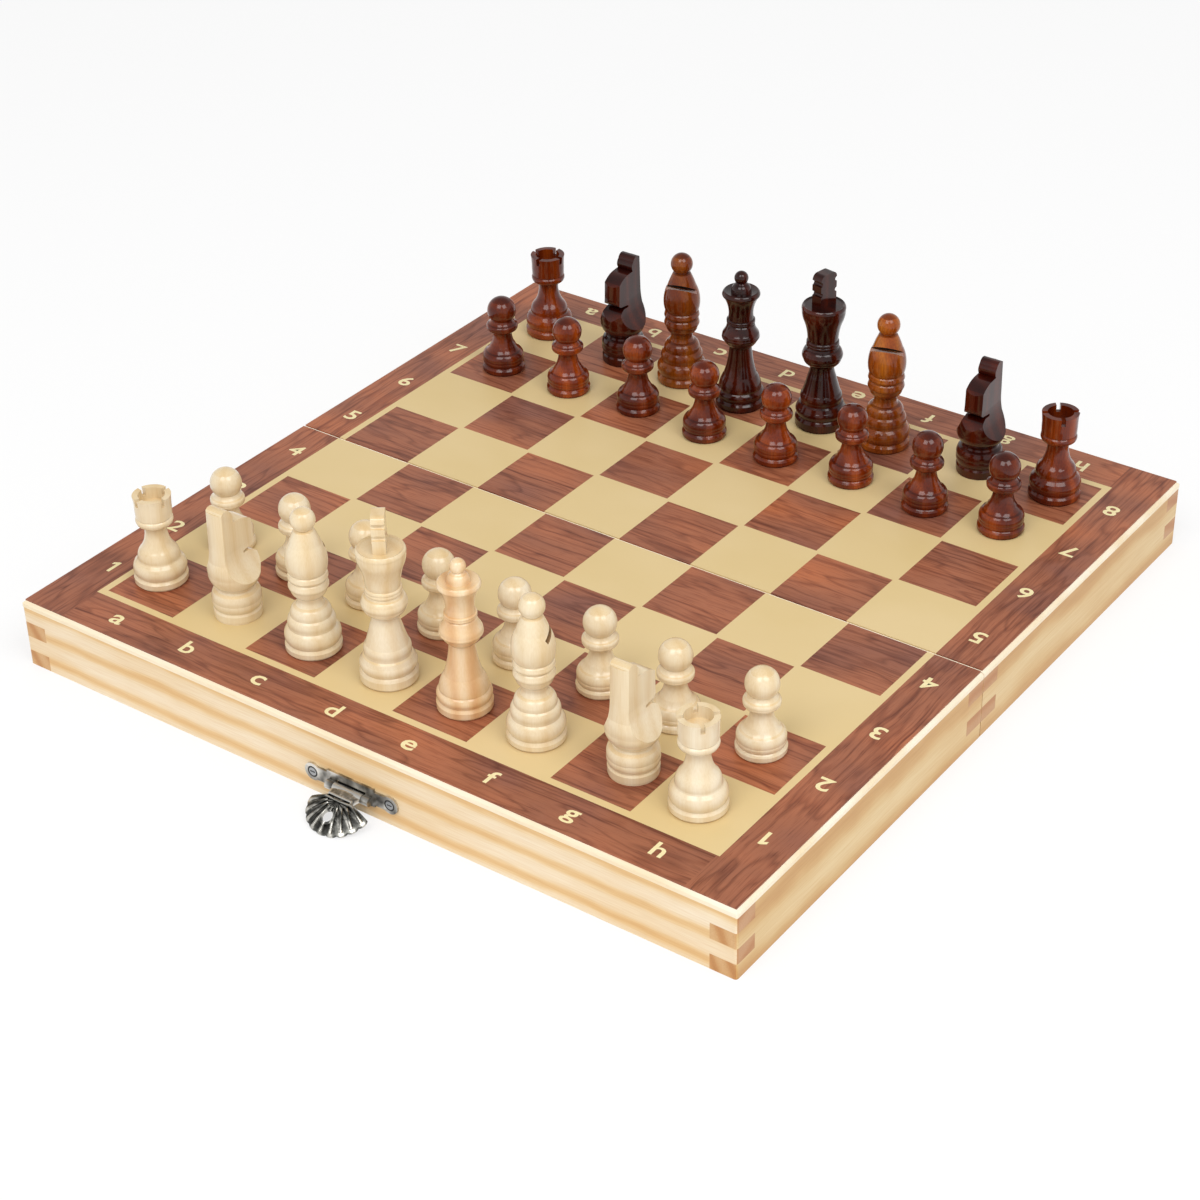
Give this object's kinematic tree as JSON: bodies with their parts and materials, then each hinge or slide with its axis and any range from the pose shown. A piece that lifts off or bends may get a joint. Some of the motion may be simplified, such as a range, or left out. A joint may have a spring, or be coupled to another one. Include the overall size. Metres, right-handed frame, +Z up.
{
  "type": "folding chess set",
  "caption": "Folding wooden chess board whose two hollow halves hinge together and latch with a shell hasp, with magnetic turned and carved chessmen set up on top.",
  "frame": {"origin": "middle of the whole footprint, on the plane that the hinge barrels touch", "axes": "+X toward the h file, +Y from white's side to black's side, +Z up"},
  "size_m": [0.29, 0.3122, 0.0895],
  "materials": {
    "rail_wood": "clear lacquer on pine",
    "panel_wood": "clear lacquer",
    "light_veneer": "satin lacquer",
    "dark_veneer": "satin lacquer",
    "pale_men": "gloss lacquer",
    "dark_men": "gloss lacquer",
    "brown_men": "gloss lacquer",
    "steel": "plain sheet",
    "felt": "felt",
    "old_silver": "antique plating",
    "brass": "plain"
  },
  "bodies": {
    "near_half": {"near_dark_veneer": "dark_veneer", "near_felt_lining": "felt", "near_front_rail": "rail_wood", "near_hinge_leaves": "brass", "near_left_rail": "rail_wood", "near_light_field": "light_veneer", "near_panel": "panel_wood", "near_right_rail": "rail_wood", "near_screws": "brass", "near_seam_rail": "rail_wood", "near_steel_sheet": "steel", "hinge_pins": "brass", "hasp_plate": "old_silver", "hasp_pin": "old_silver"},
    "far_half": {"far_back_rail": "rail_wood", "far_dark_veneer": "dark_veneer", "far_felt_lining": "felt", "far_hinge_leaves": "brass", "far_left_rail": "rail_wood", "far_light_field": "light_veneer", "far_panel": "panel_wood", "far_right_rail": "rail_wood", "far_screws": "brass", "far_seam_rail": "rail_wood", "far_steel_sheet": "steel", "catch_plate": "old_silver"},
    "hasp_fan": {"hasp_fan": "old_silver"},
    "black_bishop_c8": {"black_bishop_c8": "brown_men"},
    "black_bishop_f8": {"black_bishop_f8": "brown_men"},
    "black_king_e8": {"black_king_e8": "dark_men"},
    "black_knight_b8": {"black_knight_b8": "dark_men"},
    "black_knight_g8": {"black_knight_g8": "dark_men"},
    "black_pawn_a7": {"black_pawn_a7": "dark_men"},
    "black_pawn_b7": {"black_pawn_b7": "dark_men"},
    "black_pawn_c7": {"black_pawn_c7": "dark_men"},
    "black_pawn_d7": {"black_pawn_d7": "dark_men"},
    "black_pawn_e7": {"black_pawn_e7": "dark_men"},
    "black_pawn_f7": {"black_pawn_f7": "dark_men"},
    "black_pawn_g7": {"black_pawn_g7": "dark_men"},
    "black_pawn_h7": {"black_pawn_h7": "dark_men"},
    "black_queen_d8": {"black_queen_d8": "dark_men"},
    "black_rook_a8": {"black_rook_a8": "dark_men"},
    "black_rook_h8": {"black_rook_h8": "dark_men"},
    "white_bishop_c1": {"white_bishop_c1": "pale_men"},
    "white_bishop_f1": {"white_bishop_f1": "pale_men"},
    "white_king_d1": {"white_king_d1": "pale_men"},
    "white_knight_b1": {"white_knight_b1": "pale_men"},
    "white_knight_g1": {"white_knight_g1": "pale_men"},
    "white_pawn_a2": {"white_pawn_a2": "pale_men"},
    "white_pawn_b2": {"white_pawn_b2": "pale_men"},
    "white_pawn_c2": {"white_pawn_c2": "pale_men"},
    "white_pawn_d2": {"white_pawn_d2": "pale_men"},
    "white_pawn_e2": {"white_pawn_e2": "pale_men"},
    "white_pawn_f2": {"white_pawn_f2": "pale_men"},
    "white_pawn_g2": {"white_pawn_g2": "pale_men"},
    "white_pawn_h2": {"white_pawn_h2": "pale_men"},
    "white_queen_e1": {"white_queen_e1": "pale_men"},
    "white_rook_a1": {"white_rook_a1": "pale_men"},
    "white_rook_h1": {"white_rook_h1": "pale_men"}
  },
  "joints": [
    {"name": "fold", "type": "hinge", "parent": "near_half", "child": "far_half", "pos_m": [0, 0.0055, 0.00125], "axis": [-1, 0, 0], "range_deg": [0, 180]},
    {"name": "hasp_swing", "type": "hinge", "parent": "near_half", "child": "hasp_fan", "pos_m": [0, -0.1414, 0.0086], "axis": [1, 0, 0], "range_deg": [-85, 62]},
    {"name": "lift_c8", "type": "slide", "parent": "far_half", "child": "black_bishop_c8", "axis": [0, 0, 1], "range_m": [0, 0.07]},
    {"name": "lift_f8", "type": "slide", "parent": "far_half", "child": "black_bishop_f8", "axis": [0, 0, 1], "range_m": [0, 0.07]},
    {"name": "lift_e8", "type": "slide", "parent": "far_half", "child": "black_king_e8", "axis": [0, 0, 1], "range_m": [0, 0.07]},
    {"name": "lift_b8", "type": "slide", "parent": "far_half", "child": "black_knight_b8", "axis": [0, 0, 1], "range_m": [0, 0.07]},
    {"name": "lift_g8", "type": "slide", "parent": "far_half", "child": "black_knight_g8", "axis": [0, 0, 1], "range_m": [0, 0.07]},
    {"name": "lift_a7", "type": "slide", "parent": "far_half", "child": "black_pawn_a7", "axis": [0, 0, 1], "range_m": [0, 0.07]},
    {"name": "lift_b7", "type": "slide", "parent": "far_half", "child": "black_pawn_b7", "axis": [0, 0, 1], "range_m": [0, 0.07]},
    {"name": "lift_c7", "type": "slide", "parent": "far_half", "child": "black_pawn_c7", "axis": [0, 0, 1], "range_m": [0, 0.07]},
    {"name": "lift_d7", "type": "slide", "parent": "far_half", "child": "black_pawn_d7", "axis": [0, 0, 1], "range_m": [0, 0.07]},
    {"name": "lift_e7", "type": "slide", "parent": "far_half", "child": "black_pawn_e7", "axis": [0, 0, 1], "range_m": [0, 0.07]},
    {"name": "lift_f7", "type": "slide", "parent": "far_half", "child": "black_pawn_f7", "axis": [0, 0, 1], "range_m": [0, 0.07]},
    {"name": "lift_g7", "type": "slide", "parent": "far_half", "child": "black_pawn_g7", "axis": [0, 0, 1], "range_m": [0, 0.07]},
    {"name": "lift_h7", "type": "slide", "parent": "far_half", "child": "black_pawn_h7", "axis": [0, 0, 1], "range_m": [0, 0.07]},
    {"name": "lift_d8", "type": "slide", "parent": "far_half", "child": "black_queen_d8", "axis": [0, 0, 1], "range_m": [0, 0.07]},
    {"name": "lift_a8", "type": "slide", "parent": "far_half", "child": "black_rook_a8", "axis": [0, 0, 1], "range_m": [0, 0.07]},
    {"name": "lift_h8", "type": "slide", "parent": "far_half", "child": "black_rook_h8", "axis": [0, 0, 1], "range_m": [0, 0.07]},
    {"name": "lift_c1", "type": "slide", "parent": "near_half", "child": "white_bishop_c1", "axis": [0, 0, 1], "range_m": [0, 0.07]},
    {"name": "lift_f1", "type": "slide", "parent": "near_half", "child": "white_bishop_f1", "axis": [0, 0, 1], "range_m": [0, 0.07]},
    {"name": "lift_d1", "type": "slide", "parent": "near_half", "child": "white_king_d1", "axis": [0, 0, 1], "range_m": [0, 0.07]},
    {"name": "lift_b1", "type": "slide", "parent": "near_half", "child": "white_knight_b1", "axis": [0, 0, 1], "range_m": [0, 0.07]},
    {"name": "lift_g1", "type": "slide", "parent": "near_half", "child": "white_knight_g1", "axis": [0, 0, 1], "range_m": [0, 0.07]},
    {"name": "lift_a2", "type": "slide", "parent": "near_half", "child": "white_pawn_a2", "axis": [0, 0, 1], "range_m": [0, 0.07]},
    {"name": "lift_b2", "type": "slide", "parent": "near_half", "child": "white_pawn_b2", "axis": [0, 0, 1], "range_m": [0, 0.07]},
    {"name": "lift_c2", "type": "slide", "parent": "near_half", "child": "white_pawn_c2", "axis": [0, 0, 1], "range_m": [0, 0.07]},
    {"name": "lift_d2", "type": "slide", "parent": "near_half", "child": "white_pawn_d2", "axis": [0, 0, 1], "range_m": [0, 0.07]},
    {"name": "lift_e2", "type": "slide", "parent": "near_half", "child": "white_pawn_e2", "axis": [0, 0, 1], "range_m": [0, 0.07]},
    {"name": "lift_f2", "type": "slide", "parent": "near_half", "child": "white_pawn_f2", "axis": [0, 0, 1], "range_m": [0, 0.07]},
    {"name": "lift_g2", "type": "slide", "parent": "near_half", "child": "white_pawn_g2", "axis": [0, 0, 1], "range_m": [0, 0.07]},
    {"name": "lift_h2", "type": "slide", "parent": "near_half", "child": "white_pawn_h2", "axis": [0, 0, 1], "range_m": [0, 0.07]},
    {"name": "lift_e1", "type": "slide", "parent": "near_half", "child": "white_queen_e1", "axis": [0, 0, 1], "range_m": [0, 0.07]},
    {"name": "lift_a1", "type": "slide", "parent": "near_half", "child": "white_rook_a1", "axis": [0, 0, 1], "range_m": [0, 0.07]},
    {"name": "lift_h1", "type": "slide", "parent": "near_half", "child": "white_rook_h1", "axis": [0, 0, 1], "range_m": [0, 0.07]}
  ]
}
